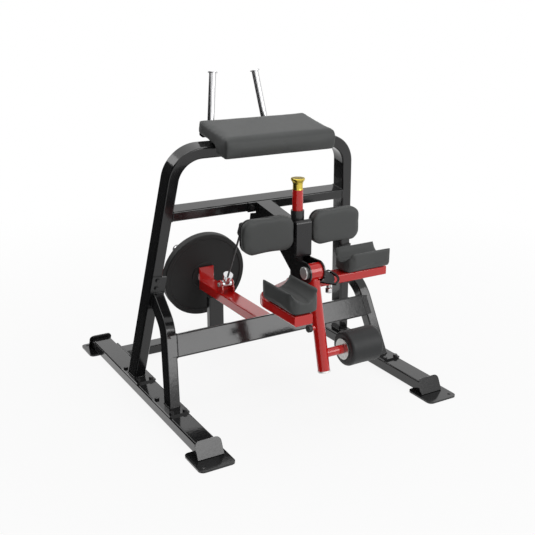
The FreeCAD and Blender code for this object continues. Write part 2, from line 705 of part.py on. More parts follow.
def lever_tube():
    """The round tube that turns on the spigot, with the roller's axle and a pin boss welded on."""
    outer = rod("lever_outer", "lever_dia / 2", "lever_long - lever_top", lever_point(s.lever_top), LEVER_DOWN)
    bore = rod("lever_bore", "spigot_dia / 2", "lever_long", lever_point(s.lever_top - 5), LEVER_DOWN)
    axle = rod("roller_axle", "roller_axle_dia / 2", "roller_start + roller_long + washer_thick + 2",
               lever_point(s.roller_down), RIGHT)
    spot = lever_point(s.lever_lock_down)
    face_x = -s.lever_dia / 2
    boss = rod("lever_boss", "lever_pin_dia / 2 + 7", "14", at_x(spot, face_x - 11), RIGHT)
    pin_hole = rod("lever_pin_hole", "lever_pin_dia / 2 + shaft_gap", "80", at_x(spot, -80), RIGHT)
    node("lever_tube", cut("lever", fuse("lever_weld", outer, axle, boss), bore, pin_hole))
    plug = rod("lever_plug", "lever_dia / 2 + 1.2", "9", lever_point(s.lever_long), LEVER_DOWN)
    low_end = lever_point(s.lever_long + 6).z
    node("lever_end_cap", rounded("lever_plug_soft", plug, 4, lambda edge: edge.CenterOfMass.z < low_end))


def lever_lock():
    """The lock pin on the lever's left: its tip runs in the spigot's groove."""
    spot = lever_point(s.lever_lock_down)
    tip = -s.spigot_dia / 2 + s.groove_depth - 1
    knob_end = -s.lever_dia / 2 - 11 - s.running_gap
    pin = rod("lever_pin_rod", "lever_pin_dia / 2", str(tip - knob_end + 10), at_x(spot, knob_end - 10), RIGHT)
    knob = rod("lever_pin_knob", "16", "20", at_x(spot, knob_end - 20), RIGHT)
    soft = rounded("lever_pin_soft", knob, 5, is_round)
    node("lever_lock_pin", fuse("lever_pin", pin, soft))


def foam_roller():
    """The foam roller and its inner sleeve, held on the axle between two washers."""
    middle = lever_point(s.roller_down)
    washers = []
    for index, x in enumerate((s.roller_start - s.washer_thick - s.running_gap,
                               s.roller_start + s.roller_long + s.running_gap)):
        disc = rod(f"roller_washer_{index}", "washer_dia / 2", "washer_thick", at_x(middle, x), RIGHT)
        hole = rod(f"roller_washer_hole_{index}", "roller_axle_dia / 2", "20", at_x(middle, x - 5), RIGHT)
        washers.append(cut(f"roller_washer_ring_{index}", disc, hole))
    node("roller_washers", group("roller_washer_pair", *washers))
    sleeve = rod("roller_sleeve_outer", "roller_axle_dia / 2 + 4", "roller_long", at_x(middle, s.roller_start), RIGHT)
    sleeve_bore = rod("roller_sleeve_bore", "roller_axle_dia / 2 + shaft_gap", "roller_long + 10",
                      at_x(middle, s.roller_start - 5), RIGHT)
    node("roller_sleeve", cut("roller_sleeve_tube", sleeve, sleeve_bore))
    foam = rod("foam_outer", "roller_dia / 2", "roller_long", at_x(middle, s.roller_start), RIGHT)
    soft = rounded("foam_soft", foam, 9, is_round)
    bore = rod("foam_bore", "roller_axle_dia / 2 + 4", "roller_long + 10",
               at_x(middle, s.roller_start - 5), RIGHT)
    node("foam_roller", cut("foam", soft, bore))


lever_tube()
lever_lock()
foam_roller()


# ---------------------------------------------------------------- drive links


def rocker():
    """The rocker: an input arm outside the right plate and an output arm between the plates."""
    shaft = rod("rocker_shaft_bar", "rocker_shaft_dia / 2", str(s.boom_wide + 4 + CRANK_THICK),
                at_x(ROCKER, -BOOM_HALF - 2), RIGHT)
    inner = crank_plate("rocker_in_arm", ROCKER, ROCKER_IN, CRANK_X, CRANK_THICK, 22, 12)
    outer = crank_plate("rocker_out_arm", ROCKER, ROCKER_OUT, -6, 12, 26, 14)
    hole = rod("rocker_out_hole", "link_pin_dia / 2 + 1", "60", at_x(ROCKER_OUT, -30), RIGHT)
    node("rocker", cut("rocker_bored", fuse("rocker_weld", shaft, inner, outer), hole))


def drive_link():
    """The flat link from the hub's crank to the rocker, with the bolt head at its rear eye."""
    bar = crank_plate("drive_link_blank", CRANK_PIN, ROCKER_IN, LINK_X, LINK_THICK, 12, 12)
    head = rod("drive_link_bolt", "9", "5", at_x(ROCKER_IN, LINK_X + LINK_THICK - 1), RIGHT)
    hole = rod("drive_link_hole", "link_pin_dia / 2 + shaft_gap", "60", at_x(CRANK_PIN, LINK_X - 20), RIGHT)
    node("drive_link", cut("drive_link_bar", fuse("drive_link_weld", bar, head), hole))


def lift_link():
    """The thin rod from the rocker down to the weight arm, with its fork and plated adjuster."""
    down = (LINK_EYE - ROCKER_OUT).normalize()
    fork = []
    for side in SIDES:
        x = 7 if side > 0 else -12
        head_x = 12 if side > 0 else -16
        fork.append(crank_plate(f"fork_{side_name(side)}", ROCKER_OUT, ROCKER_OUT + down * 46, x, 5, 13, 11))
        fork.append(rod(f"fork_{side_name(side)}_head", "9", "4", at_x(ROCKER_OUT, head_x), RIGHT))
    neck = rod("fork_neck", "12", "24", ROCKER_OUT + down * 34, down)
    length = (LINK_EYE - ROCKER_OUT).Length
    bar = rod("lift_rod", "5", str(length - 58 - 62), ROCKER_OUT + down * 58, down)
    node("lift_link", fuse("lift_link_weld", neck, bar, *fork))
    start = LINK_EYE - down * 62
    body = bind(doc.addObject("Part::Cone", "adjuster_body"), Radius1="24", Radius2="17", Height="62")
    body.Placement = Placement(start, Rotation(Vector(0, 0, 1), down))
    eye = rod("adjuster_eye", "20", "48", at_x(LINK_EYE, -24), RIGHT)
    bore = rod("adjuster_bore", "link_pin_dia / 2 + shaft_gap", "80", at_x(LINK_EYE, -40), RIGHT)
    flat = feature("adjuster_width", Part.makeBox(48, 300, 300, Vector(-24, LINK_EYE.y - 150, LINK_EYE.z - 150)))
    both = doc.addObject("Part::MultiCommon", "adjuster_common")
    both.Shapes = [fuse("adjuster_blank", body, eye), flat]
    doc.recompute([both])
    node("lift_link_adjuster", cut("adjuster", both, bore))


rocker()
drive_link()
lift_link()


# ---------------------------------------------------------------- weight arm

PIVOT = Vector(0, s.arm_pivot_y, s.arm_pivot_z)
ARM_TOP = s.arm_pivot_z + s.arm_tall / 2
HORN_BACK = (Vector(0, math.cos(math.radians(s.horn_tilt)), math.sin(math.radians(s.horn_tilt)))).normalize()
HORN_ROOT = Vector(0, s.arm_end_y + s.flange_thick, s.horn_z)


def weight_arm():
    """The lifting arm: a tube welded to a barrel at its pivot, two lugs and a rear plate."""
    length = s.arm_end_y - s.arm_pivot_y - 22
    tube = straight_tube("arm_tube", str(length), "arm_wide", "arm_tall",
                         (0, s.arm_end_y - length / 2, s.arm_pivot_z), Rotation(Vector(0, 0, 1), 90))
    barrel = rod("arm_barrel", "31", "arm_wide", at_x(PIVOT, -s.arm_wide / 2), RIGHT)
    rear = block("arm_rear_plate", "arm_wide", "flange_thick", "118",
                 (0, s.arm_end_y + s.flange_thick / 2, s.arm_pivot_z - s.arm_tall / 2 + 59))
    pieces = [tube, barrel, rear]
    for side in SIDES:
        x = 26 if side > 0 else -34
        lug = crank_plate(f"arm_lug_{side_name(side)}", Vector(0, s.link_eye_y, ARM_TOP + 14), LINK_EYE, x, 8, 30, 22)
        trim = feature(f"arm_lug_trim_{side_name(side)}",
                       Part.makeBox(200, 300, 200, Vector(-100, s.link_eye_y - 150, ARM_TOP - 200)))
        pieces.append(cut(f"arm_lug_{side_name(side)}_trimmed", lug, trim))
    holes = [rod("arm_pivot_bore", "arm_bush_dia / 2", "200", at_x(PIVOT, -100), RIGHT),
             rod("arm_lug_bore", "link_pin_dia / 2", "200", at_x(LINK_EYE, -100), RIGHT)]
    node("weight_arm", cut("arm_weld", fuse("arm_blank", *pieces), *holes))


def arm_fittings():
    """The pivot's bushes and shaft, its cheeks on the crossbeam, and the lug bolt."""
    bushes = []
    for side in SIDES:
        start = at_x(PIVOT, side * s.arm_wide / 2)
        name = side_name(side)
        outer = rod(f"arm_bush_{name}_outer", "arm_bush_dia / 2", "25", start, (-side, 0, 0))
        bore = rod(f"arm_bush_{name}_bore", "arm_shaft_dia / 2 + shaft_gap", "40", start + Vector(side * 5, 0, 0),
                   (-side, 0, 0))
        bushes.append(cut(f"arm_bush_{name}", outer, bore))
    node("arm_bushes", group("arm_bush_pair", *bushes))
    reach = s.arm_wide / 2 + 2 + s.flange_thick
    node("arm_pivot_shaft", rod("arm_shaft", "arm_shaft_dia / 2", str(2 * reach), at_x(PIVOT, -reach), RIGHT))
    cheeks = []
    beam = block("cheek_beam_trim", "400", "beam_thick + 200", "beam_tall + 200",
                 beam_middle + beam_forward * 100, beam_turn)
    for side in SIDES:
        x = side * (s.arm_wide / 2 + 2) if side > 0 else -reach
        plate = crank_plate(f"arm_cheek_{side_name(side)}_blank", beam_middle, PIVOT, x, s.flange_thick, 46, 26)
        hole = rod(f"arm_cheek_{side_name(side)}_hole", "arm_shaft_dia / 2", "200", at_x(PIVOT, -100), RIGHT)
        cheeks.append(cut(f"arm_cheek_{side_name(side)}", plate, beam, hole))
    node("arm_pivot_cheeks", group("arm_cheek_pair", *cheeks))
    bolt_bar = rod("lug_bolt_bar", "link_pin_dia / 2", "84", at_x(LINK_EYE, -42), RIGHT)
    heads = [rod("lug_bolt_head", "10", "8", at_x(LINK_EYE, -42), RIGHT),
             rod("lug_bolt_nut", "10", "8", at_x(LINK_EYE, 34), RIGHT)]
    node("lug_bolt", fuse("lug_bolt_weld", bolt_bar, *heads))


def weight_horn():
    """The horn that weight plates slide on, tilted up so that they stay, and one plate."""
    start = HORN_ROOT - HORN_BACK * 20
    horn = rod("horn_tube", "horn_dia / 2", "horn_long + 40", start, HORN_BACK)
    flange = rod("horn_flange", "45", "28", start, HORN_BACK)
    front = feature("horn_trim", Part.makeBox(300, 300, 600, Vector(-150, HORN_ROOT.y - 300, 0)))
    node("weight_horn", cut("horn", fuse("horn_blank", horn, flange), front))
    tip = start + HORN_BACK * (s.horn_long + 40)
    cap = rod("horn_cap_disc", "horn_dia / 2", "10", tip, HORN_BACK)
    node("horn_cap", rounded("horn_cap_soft", cap, 3, lambda edge: edge.CenterOfMass.y > tip.y + 5))
    face = HORN_ROOT + HORN_BACK * 8.3
    r = s.plate_dia / 2
    profile = [(25.2, 0), (70, 0), (74, 5), (r - 26, 5), (r - 22, 0), (r - 4, 0), (r, 4),
               (r, s.weight_thick - 4), (r - 4, s.weight_thick), (r - 22, s.weight_thick),
               (r - 26, s.weight_thick - 5), (74, s.weight_thick - 5), (70, s.weight_thick), (25.2, s.weight_thick)]
    outline = [Vector(radius, 0, along) for radius, along in profile]
    disc = Part.Face(Part.makePolygon(outline + outline[:1])).revolve(Vector(), Vector(0, 0, 1), 360)
    plate = feature("weight_plate_disc", disc)
    plate.Placement = Placement(face, Rotation(Vector(0, 0, 1), HORN_BACK))
    node("weight_plate", plate)


def stop_post():
    """The post under the weight arm, with the rubber bumper that the arm rests on."""
    low = s.foot_thick + 3 + s.cross_tube_tall
    high = s.arm_pivot_z - s.arm_tall / 2 - s.bumper_thick
    post = straight_tube("stop_tube", str(high - low), "80", "40", (0, s.cross_tube_y - 10, (low + high) / 2),
                         Rotation(Vector(0, 1, 0), 90) * Rotation(Vector(1, 0, 0), 90))
    node("stop_post", post)
    pad = block("bumper_blank", "80", "40", "bumper_thick", (0, s.cross_tube_y - 10, high + s.bumper_thick / 2))
    node("stop_bumper", rounded("bumper", pad, 6, runs_along((0, 0, 1))))


weight_arm()
arm_fittings()
weight_horn()
stop_post()


# ---------------------------------------------------------------- knee pad frame

POST = Vector(0, s.post_y, 0)
ARM_HIGH = s.knee_arm_low + s.knee_arm_tall


def post_sleeve():
    """The fixed sleeve that the post turns in, with the slotted locking plate at its foot."""
    tall = s.sleeve_top - s.sleeve_low
    outer = rod("sleeve_outer", "sleeve_dia / 2", "sleeve_top - sleeve_low", (0, s.post_y, s.sleeve_low), (0, 0, 1))
    bore = rod("sleeve_bore", "post_dia / 2 + shaft_gap", str(tall + 20), (0, s.post_y, s.sleeve_low - 10), (0, 0, 1))
    node("post_sleeve", cut("sleeve", outer, bore))
    low = s.sleeve_low - s.plate_thick
    start, sweep = -s.knee_swing - 8, s.knee_swing + 16
    fan = Part.makeCylinder(s.index_radius, s.plate_thick, Vector(0, s.post_y, low), Vector(0, 0, 1), sweep)
    fan.rotate(Vector(0, s.post_y, low), Vector(0, 0, 1), start)
    disc = Part.makeCylinder(34, s.plate_thick, Vector(0, s.post_y, low))
    plate = fan.fuse(disc).removeSplitter()
    plate = plate.cut(Part.makeCylinder(s.post_dia / 2 + s.shaft_gap, 40, Vector(0, s.post_y, low - 10)))
    half_slot = s.lock_pin_dia / 2 + s.running_gap
    arc = [Part.makeCylinder(s.lock_radius + half_slot, 40, Vector(0, s.post_y, low - 10), Vector(0, 0, 1),
                             s.knee_swing),
           Part.makeCylinder(s.lock_radius - half_slot, 40, Vector(0, s.post_y, low - 10))]
    arc[0].rotate(Vector(0, s.post_y, low), Vector(0, 0, 1), -s.knee_swing)
    slot = arc[0].cut(arc[1])
    ends = [Part.makeCylinder(half_slot, 40, lock_spot(angle, low - 10)) for angle in (0, -s.knee_swing)]
    node("knee_index_plate", feature("index_plate", plate.cut(slot.fuse(ends))))


def lock_spot(angle, z):
    """Where the knee frame's lock pin meets the locking plate, at a turn of the frame."""
    turn = math.radians(angle)
    return Vector(s.lock_radius * math.cos(turn), s.post_y + s.lock_radius * math.sin(turn), z)


def knee_frame():
    """The turning frame: a post and two box-section arms, one straight and one bent."""
    z = s.knee_arm_low + s.knee_arm_tall / 2
    wide, tall = s.knee_arm_wide, s.knee_arm_tall
    side_y = s.post_y + s.knee_side_x * math.tan(math.radians(s.knee_side_slope))
    straight = [(0, s.post_y, z), (s.knee_arm_reach, s.post_y, z)]
    bent = [(0, s.post_y, z), (s.knee_side_x, side_y, z), (s.knee_side_x, s.knee_side_end, z)]
    outers = [bent_bar(straight, 10, tall, wide, s.tube_corner, (0, 0, 1)),
              bent_bar(bent, s.knee_bend, tall, wide, s.tube_corner, (0, 0, 1))]
    wall = s.tube_wall
    inners = [bent_bar(line, bend, tall - 2 * wall, wide - 2 * wall, s.tube_corner - wall, (0, 0, 1))
              for line, bend in ((straight, 10), (bent, s.knee_bend))]
    shape = outers[0].fuse(outers[1]).cut(inners[0].fuse(inners[1]))
    boss = Part.makeCylinder(44, tall, Vector(0, s.post_y, s.knee_arm_low))
    post = Part.makeCylinder(s.post_dia / 2, s.post_top - s.knee_arm_low, Vector(0, s.post_y, s.knee_arm_low))
    shape = shape.fuse([boss, post])
    spot = lock_spot(0, s.knee_arm_low - 20)
    shape = shape.cut(Part.makeCylinder(11, 100, spot))
    node("knee_frame", feature("knee_frame_weld", shape.removeSplitter()))
    caps = []
    for name, middle, turn in (("right", Vector(s.knee_arm_reach + 2, s.post_y, z), 0),
                               ("left", Vector(s.knee_side_x, s.knee_side_end - 2, z), 90)):
        cap = block(f"knee_cap_{name}", "4", "knee_arm_wide", "knee_arm_tall", middle,
                    Rotation(Vector(0, 0, 1), turn))
        caps.append(rounded(f"knee_cap_{name}_soft", cap, s.tube_corner,
                            runs_along((1, 0, 0) if turn == 0 else (0, 1, 0))))
    node("knee_arm_caps", group("knee_cap_pair", *caps))


def post_knob():
    """The brass hand knob on top of the post, flared at its top, and the thrust collar."""
    low = s.post_top
    waist = s.post_dia / 2 - 2
    points = [(0, 0), (waist + 1, 0), (waist, 6), (waist, 24), (waist + 2, 31), (s.knob_dia / 2, 42),
              (s.knob_dia / 2, 46), (s.knob_dia / 2 - 2, 48), (0, 48)]
    outline = [Vector(radius, 0, up) for radius, up in points]
    shape = Part.Face(Part.makePolygon(outline + outline[:1])).revolve(Vector(), Vector(0, 0, 1), 360)
    knob = feature("post_knob_turned", shape)
    knob.Placement = Placement(Vector(0, s.post_y, low), Rotation())
    node("post_knob", knob)
    outer = rod("collar_outer", "sleeve_dia / 2", "12", (0, s.post_y, s.sleeve_top + s.running_gap), (0, 0, 1))
    bore = rod("collar_bore", "post_dia / 2", "40", (0, s.post_y, s.sleeve_top - 10), (0, 0, 1))
    node("post_collar", cut("collar", outer, bore))


def knee_lock():
    """The plated housing and the sprung pin that lock the knee frame's turn."""
    spot = lock_spot(0, 0)
    low = s.knee_arm_low - 22
    housing = rod("lock_housing_outer", "11", str(ARM_HIGH - low), (spot.x, spot.y, low), (0, 0, 1))
    bore = rod("lock_housing_bore", "lock_pin_dia / 2 + shaft_gap", "200", (spot.x, spot.y, low - 50), (0, 0, 1))
    node("knee_lock_housing", cut("lock_housing", housing, bore))
    pin = rod("lock_pin_rod", "lock_pin_dia / 2", str(s.sleeve_low - low + 14), (spot.x, spot.y, low - 14), (0, 0, 1))
    knob = rod("lock_pin_knob", "15", "24", (spot.x, spot.y, low - 26), (0, 0, 1))
    soft = rounded("lock_pin_soft", knob, 5, is_round)
    node("knee_lock_pin", fuse("lock_pin", pin, soft))


def knee_pad(name, middle, turn):
    """A knee pad with a rounded groove along it, on a steel plate on its arm."""
    board = block(f"knee_board_{name}", "knee_pad_long - 40", "knee_arm_wide", "plate_thick",
                  middle + Vector(0, 0, s.plate_thick / 2), Rotation(Vector(0, 0, 1), turn))
    half, foot = s.knee_pad_wide / 2, s.knee_pad_wide / 2 - 12
    low = s.plate_thick + s.running_gap
    high = s.knee_pad_high - ARM_HIGH
    lip = 9
    floor = high - s.knee_groove_depth
    start = Vector(-s.knee_pad_long / 2, 0, 0)

    def at(y, z):
        return start + Vector(0, y, z)

    edges = [Part.LineSegment(at(-foot, low), at(foot, low)),
             Part.Arc(at(foot, low), at(half - 4, low + 8), at(half, low + 24)),
             Part.LineSegment(at(half, low + 24), at(half, high)),
             Part.LineSegment(at(half, high), at(half - lip, high)),
             Part.Arc(at(half - lip, high), at(0, floor), at(lip - half, high)),
             Part.LineSegment(at(lip - half, high), at(-half, high)),
             Part.LineSegment(at(-half, high), at(-half, low + 24)),
             Part.Arc(at(-half, low + 24), at(4 - half, low + 8), at(-foot, low))]
    outline = Part.Wire([edge.toShape() for edge in edges])
    plan = Part.makeBox(s.knee_pad_long + s.knee_pad_corner, s.knee_pad_wide, s.knee_pad_high, start - Vector(0, half, 0))
    corners = [edge for edge in plan.Edges if runs_along((0, 0, 1))(edge)]
    plan = plan.makeFillet(s.knee_pad_corner, corners)
    body = Part.Face(outline).extrude(Vector(s.knee_pad_long, 0, 0)).common(plan)
    pad = feature(f"knee_pad_{name}_body", body)
    pad.Placement = Placement(middle, Rotation(Vector(0, 0, 1), turn))
    node(f"knee_pad_{name}", pad)
    return board


post_sleeve()
knee_frame()
post_knob()
knee_lock()
knee_plates = [knee_pad("right", Vector(s.knee_arm_reach + 5 - s.knee_pad_long / 2, s.post_y, ARM_HIGH), 0),
               knee_pad("left", Vector(s.knee_side_x + s.knee_pad_offset, s.knee_side_end - 10 + s.knee_pad_long / 2, ARM_HIGH),
                        90)]
node("knee_pad_plates", group("knee_plate_pair", *knee_plates))


# ---------------------------------------------------------------- thigh pads


def thigh_pad(side):
    """A thigh pad on a board, and the bracket that carries it from the boom's side."""
    name = side_name(side)
    x = side * s.thigh_pad_x
    blank = block(f"thigh_{name}_blank", "thigh_pad_wide", "thigh_pad_thick - board_thick", "thigh_pad_tall",
                  (x, s.cover_y + (s.thigh_pad_thick - s.board_thick) / 2, s.thigh_pad_z))
    node(f"thigh_pad_{name}", rounded(f"thigh_{name}_soft", blank, 48, runs_along((0, 1, 0))))
    back = s.cover_y + s.thigh_pad_thick - s.board_thick + s.running_gap
    board = block(f"thigh_board_{name}_blank", "thigh_pad_wide - 14", "board_thick", "thigh_pad_tall - 14",
                  (x, back + s.board_thick / 2, s.thigh_pad_z))
    soft_board = rounded(f"thigh_board_{name}_soft", board, 42, runs_along((0, 1, 0)))
    rear = back + s.board_thick
    plate = block(f"thigh_bracket_{name}_plate", "150", "plate_thick", "90",
                  (x, rear + s.plate_thick / 2, s.thigh_pad_z))
    reach = abs(x) + 60 - BOOM_HALF
    tube = straight_tube(f"thigh_bracket_{name}_tube", str(reach), "34", "34",
                         (side * (BOOM_HALF + reach / 2), rear + s.plate_thick + 17, s.thigh_pad_z))
    return soft_board, fuse(f"thigh_bracket_{name}_weld", plate, tube)


thigh_supports = [thigh_pad(side) for side in SIDES]
node("thigh_boards", group("thigh_board_pair", *[board for board, bracket in thigh_supports]))
node("thigh_brackets", group("thigh_bracket_pair", *[bracket for board, bracket in thigh_supports]))


# ---------------------------------------------------------------- arm pad and handles


def arm_pad():
    """The forearm pad on its board: flat on top, with a thick rolled front edge."""
    low = s.hoop_top + s.board_thick + s.running_gap
    high = low + s.arm_pad_thick
    front, rear = s.arm_pad_front, s.arm_pad_rear
    half = s.arm_pad_half

    def at(d, w):
        return lean(-half, d, w)

    edges = [Part.LineSegment(at(rear, low), at(rear, high)),
             Part.LineSegment(at(rear, high), at(front + 30, high)),
             Part.Arc(at(front + 30, high), at(front + 8, high - 10), at(front, high - 34)),
             Part.LineSegment(at(front, high - 34), at(front, low - 10)),
             Part.Arc(at(front, low - 10), at(front + 8, low - 26), at(front + 24, low - 32)),
             Part.LineSegment(at(front + 24, low - 32), at(-s.hoop_deep / 2 - 26, low - 32)),
             Part.LineSegment(at(-s.hoop_deep / 2 - 26, low - 32), at(-s.hoop_deep / 2 - 8, low)),
             Part.LineSegment(at(-s.hoop_deep / 2 - 8, low), at(rear, low))]
    outline = Part.Wire([edge.toShape() for edge in edges])
    node("arm_pad", feature("arm_pad_body", Part.Face(outline).extrude(Vector(2 * half, 0, 0))))
    board = block("arm_board_blank", "2 * arm_pad_half - 100", "130", "board_thick",
                  lean(0, 20, s.hoop_top + s.board_thick / 2), lean_turn())
    node("arm_pad_board", board)


def handles():
    """The two upright grips, their end flanges and the bracket behind the hoop."""
    d, w = 228, 1103
    cross = straight_tube("grip_cross", "2 * handle_foot_x + 90", "40", "40", lean(0, d, w), lean_turn())
    rear_face = s.hoop_deep / 2
    pieces = [cross]
    for side in SIDES:
        reach = d - 20 - rear_face
        pieces.append(straight_tube(f"grip_strut_{side_name(side)}", str(reach), "34", "34",
                                    lean(side * 120, rear_face + reach / 2, w), lean_turn() * Rotation(Vector(0, 0, 1), 90)))
    node("handle_bracket", fuse("grip_bracket", *pieces))
    envelope = block("grip_envelope", "600", "60", "40", lean(0, d, w), lean_turn())
    grips, caps = [], []
    for side in SIDES:
        name = side_name(side)
        foot = Vector(side * s.handle_foot_x, s.handle_foot_y, s.handle_foot_z)
        top = Vector(side * s.handle_top_x, s.handle_top_y, s.handle_top_z)
        up = (top - foot).normalize()
        start = foot - up * 16
        outer = rod(f"grip_{name}_outer", "handle_dia / 2", str((top - start).Length), start, up)
        bore = rod(f"grip_{name}_bore", "handle_dia / 2 - 2.5", str((top - start).Length + 20), start - up * 10, up)
        grips.append(cut(f"grip_{name}", outer, bore, envelope))
        cap = rod(f"grip_cap_{name}", "handle_cap_dia / 2", "7", top, up)
        caps.append(rounded(f"grip_cap_{name}_soft", cap, 2.5, is_round))
    node("handles", group("grip_pair", *grips))
    node("handle_end_flanges", group("grip_cap_pair", *caps))


arm_pad()
handles()


# ---------------------------------------------------------------- checks and export

doc.recompute()
for item in doc.Objects:
    if "Invalid" in item.State or "Error" in item.State:
        raise SystemExit(f"{item.Name} failed: {item.State}")
for label, item in nodes.items():
    shape = item.Shape
    if shape.isNull() or not shape.isValid() or not shape.Solids:
        raise SystemExit(f"{label} has no valid solid")
os.makedirs("parts", exist_ok=True)
for label, item in nodes.items():
    item.Shape.exportStep(f"parts/{label}.step")
print(len(nodes), "sub-parts")
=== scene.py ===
import math

import bmesh
import bpy
from mathutils import Matrix, Vector, noise


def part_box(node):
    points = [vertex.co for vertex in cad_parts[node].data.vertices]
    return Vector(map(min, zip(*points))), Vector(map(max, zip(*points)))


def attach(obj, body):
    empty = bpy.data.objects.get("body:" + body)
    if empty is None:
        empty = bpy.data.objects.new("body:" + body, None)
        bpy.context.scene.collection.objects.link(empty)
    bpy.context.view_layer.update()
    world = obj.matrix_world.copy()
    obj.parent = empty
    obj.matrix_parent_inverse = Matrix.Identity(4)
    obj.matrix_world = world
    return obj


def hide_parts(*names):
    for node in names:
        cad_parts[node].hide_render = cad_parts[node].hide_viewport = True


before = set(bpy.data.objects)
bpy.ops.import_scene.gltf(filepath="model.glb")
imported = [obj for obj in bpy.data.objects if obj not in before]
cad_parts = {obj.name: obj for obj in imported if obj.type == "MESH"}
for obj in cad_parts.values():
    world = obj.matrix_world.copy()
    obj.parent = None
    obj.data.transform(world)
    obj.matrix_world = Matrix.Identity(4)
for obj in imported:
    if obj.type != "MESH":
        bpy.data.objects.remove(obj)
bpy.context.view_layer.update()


# ------------------------------------------------------------------ studio
# The machine stands on a seamless pale floor. Large soft lamps hang in front and overhead, a
# white surround gives the paint and the plating something plain to reflect, and a black card
# on the left keeps that reflection off the faces turned its way, so their edges read.

class Feed:
    """What a shader node gives out. Python sums on it add the maths nodes."""

    def __init__(self, nodes, socket):
        self.nodes = nodes
        self.socket = socket

    def sum_with(self, operation, first, second):
        return self.nodes.add("ShaderNodeMath", {"operation": operation}, {0: first, 1: second})

    def __add__(self, other):
        return self.sum_with("ADD", self, other)

    def __mul__(self, other):
        return self.sum_with("MULTIPLY", self, other)

    def __pow__(self, other):
        return self.sum_with("POWER", self, other)

    __radd__ = __add__
    __rmul__ = __mul__


class Nodes:
    """A node tree that nodes are added to."""

    def __init__(self, tree):
        self.tree = tree

    def connect(self, socket, feed):
        if isinstance(feed, Feed):
            self.tree.links.new(feed.socket, socket)
        elif isinstance(feed, tuple) and len(feed) == 3 and socket.type == "RGBA":
            socket.default_value = (*feed, 1)
        else:
            socket.default_value = feed

    def add(self, kind, settings, feeds, output=0):
        """Any node: its settings first, then what goes into its sockets."""
        node = self.tree.nodes.new(kind)
        for setting, value in settings.items():
            setattr(node, setting, value)
        for socket, feed in feeds.items():
            self.connect(node.inputs[socket], feed)
        return Feed(self, node.outputs[output])

    def either(self, first, second):
        """The sum of two feeds, stopped at 1."""
        return self.add("ShaderNodeMath", {"operation": "ADD", "use_clamp": True},
                        {0: first, 1: second})

    def ray_sees_background(self):
        """1 for the rays that show the background: straight, mirrored or through glass."""
        straight = self.add("ShaderNodeLightPath", {}, {}, "Is Camera Ray")
        mirrored = self.add("ShaderNodeLightPath", {}, {}, "Is Glossy Ray")
        through = self.add("ShaderNodeLightPath", {}, {}, "Is Transmission Ray")
        return self.either(straight, mirrored + through)


class Finish(Nodes):
    """One finish: a material, its main shader, and the nodes that vary it."""

    def __init__(self, name, **shader_values):
        self.material = bpy.data.materials.new(name)
        self.material.use_nodes = True
        super().__init__(self.material.node_tree)
        self.shader = self.tree.nodes["Principled BSDF"]
        for name_of_socket, value in shader_values.items():
            self.connect(self.shader.inputs[name_of_socket.replace("_", " ")], value)
        self.place = self.add("ShaderNodeTexCoord", {}, {}, "Object")

    def mottle(self, scale, detail=3, roughness=0.5, where=None):
        """Cloudy noise of about one over scale metres."""
        return self.add("ShaderNodeTexNoise", {}, {"Vector": where or self.place, "Scale": scale,
                                                   "Detail": detail, "Roughness": roughness})

    def grain(self, scale):
        """The distance to the nearest pebble of a pebbled surface."""
        return self.add("ShaderNodeTexVoronoi", {"feature": "F1"},
                        {"Vector": self.place, "Scale": scale}, "Distance")

    def stretched(self, x, y, z):
        """The place, with each axis scaled, for marks that run one way."""
        return self.add("ShaderNodeMapping", {"vector_type": "POINT"},
                        {"Vector": self.place, "Scale": (x, y, z)})

    def blend(self, mask, first, second):
        """One colour where the mask is 0, the other where it is 1."""
        return self.add("ShaderNodeMix", {"data_type": "RGBA"},
                        {"Factor": mask, 6: first, 7: second}, 2)

    def vary(self, name_of_socket, feed):
        self.connect(self.shader.inputs[name_of_socket], feed)

    def raise_by(self, height, depth, under=None):
        """Relief of a given depth in metres, over any finer relief under it."""
        feeds = {"Height": height, "Distance": depth, "Strength": 1.0}
        if under is not None:
            feeds["Normal"] = under
        return self.add("ShaderNodeBump", {}, feeds)


def coat(finish, *nodes):
    """Gives CAD pieces a finish."""
    for node in nodes:
        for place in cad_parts[node].material_slots:
            place.material = finish.material


def put(name, data, finish=None):
    """Puts an object in the scene, in its finish if it has one."""
    made = bpy.data.objects.new(name, data)
    bpy.context.collection.objects.link(made)
    if finish:
        data.materials.clear()
        data.materials.append(finish.material)
    return made


def piece(name, mesh, finish, body):
    """A new piece of the machine, on its body."""
    made = put(name, mesh, finish)
    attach(made, body)
    return made


def mesh_of(name, build):
    """A mesh made by a bmesh builder."""
    shape = bmesh.new()
    build(shape)
    bmesh.ops.recalc_face_normals(shape, faces=shape.faces)
    mesh = bpy.data.meshes.new(name)
    shape.to_mesh(mesh)
    shape.free()
    for face in mesh.polygons:
        face.use_smooth = True
    return mesh


scene = bpy.context.scene
scene.view_settings.view_transform = "Standard"

AMBIENT = 0.28
WHITE = (1, 1, 1)
surround = bpy.data.worlds.new("studio_surround")
surround.use_nodes = True
scene.world = surround
sky = Nodes(surround.node_tree)
sky_light = sky.tree.nodes["Background"]
sky.connect(sky_light.inputs["Color"], WHITE)
sky.connect(sky_light.inputs["Strength"],
            sky.add("ShaderNodeMix", {"data_type": "FLOAT"},
                    {0: sky.ray_sees_background(), 2: AMBIENT, 3: 1.0}, 0))

FLOOR_HALF = 14
FLOOR_DROP = 0.0005
PAPER_AT_MIDDLE = 0.88
PAPER_PER_METRE = 0.035


def floor_shape(shape):
    bmesh.ops.create_grid(shape, x_segments=2, y_segments=2, size=FLOOR_HALF)


